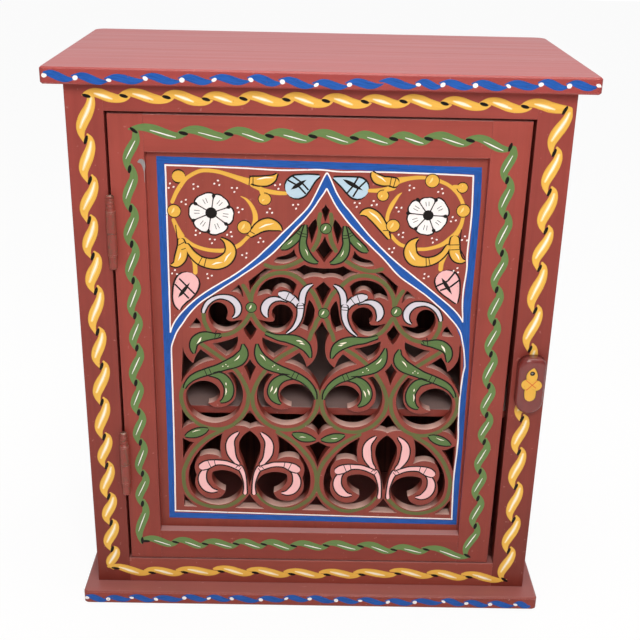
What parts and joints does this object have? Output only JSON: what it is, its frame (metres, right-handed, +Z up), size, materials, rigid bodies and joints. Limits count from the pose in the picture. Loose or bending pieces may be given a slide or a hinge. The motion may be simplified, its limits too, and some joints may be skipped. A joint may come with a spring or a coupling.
{
  "type": "cabinet",
  "caption": "Small painted wooden cabinet with a face frame, overhanging top and base boards, one hinged door with a fret-cut panel, and a wooden turn button.",
  "frame": {"origin": "middle of the underside of the base board", "axes": "+X to the right seen from the front, +Y from the door to the back panel, +Z up"},
  "size_m": [0.5224, 0.278, 0.6],
  "materials": {
    "painted_wood": "brushed red-brown paint",
    "painted_panel": "brushed red-brown paint",
    "inner_wood": "thin red-brown wash",
    "painted_hinge": "steel painted over with the wood",
    "steel": "plain steel"
  },
  "bodies": {
    "cabinet": {"back_brads": "steel", "back_panel": "inner_wood", "base_board": "painted_wood", "base_nails": "steel", "cleat_nails": "steel", "face_frame_nails": "steel", "face_rail_bottom": "painted_wood", "face_rail_top": "painted_wood", "face_stile_left": "painted_wood", "face_stile_right": "painted_wood", "hinge_lower_frame_leaf": "painted_hinge", "hinge_lower_pin": "painted_hinge", "hinge_nails_frame": "steel", "hinge_upper_frame_leaf": "painted_hinge", "hinge_upper_pin": "painted_hinge", "left_side": "painted_wood", "right_side": "painted_wood", "shelf": "inner_wood", "shelf_cleat_left": "inner_wood", "shelf_cleat_right": "inner_wood", "top_board": "painted_wood", "top_nails": "steel", "turn_button_screw": "steel"},
    "door": {"door_stile_hinge": "painted_wood", "door_stile_latch": "painted_wood", "door_rail_top": "painted_wood", "door_rail_bottom": "painted_wood", "carved_panel": "painted_panel", "panel_brads": "steel", "hinge_upper_door_leaf": "painted_hinge", "hinge_lower_door_leaf": "painted_hinge", "hinge_upper_finial": "painted_hinge", "hinge_lower_finial": "painted_hinge", "hinge_nails_door": "steel"},
    "turn_button": {"turn_button": "painted_wood"}
  },
  "joints": [
    {"name": "door_swing", "type": "hinge", "parent": "cabinet", "child": "door", "pos_m": [-0.20495, -0.12235, 0.3], "axis": [0, 0, -1], "range_deg": [0, 180]},
    {"name": "turn_button_turn", "type": "hinge", "parent": "cabinet", "child": "turn_button", "pos_m": [0.226, -0.1244, 0.294], "axis": [0, 1, 0], "continuous": true}
  ]
}
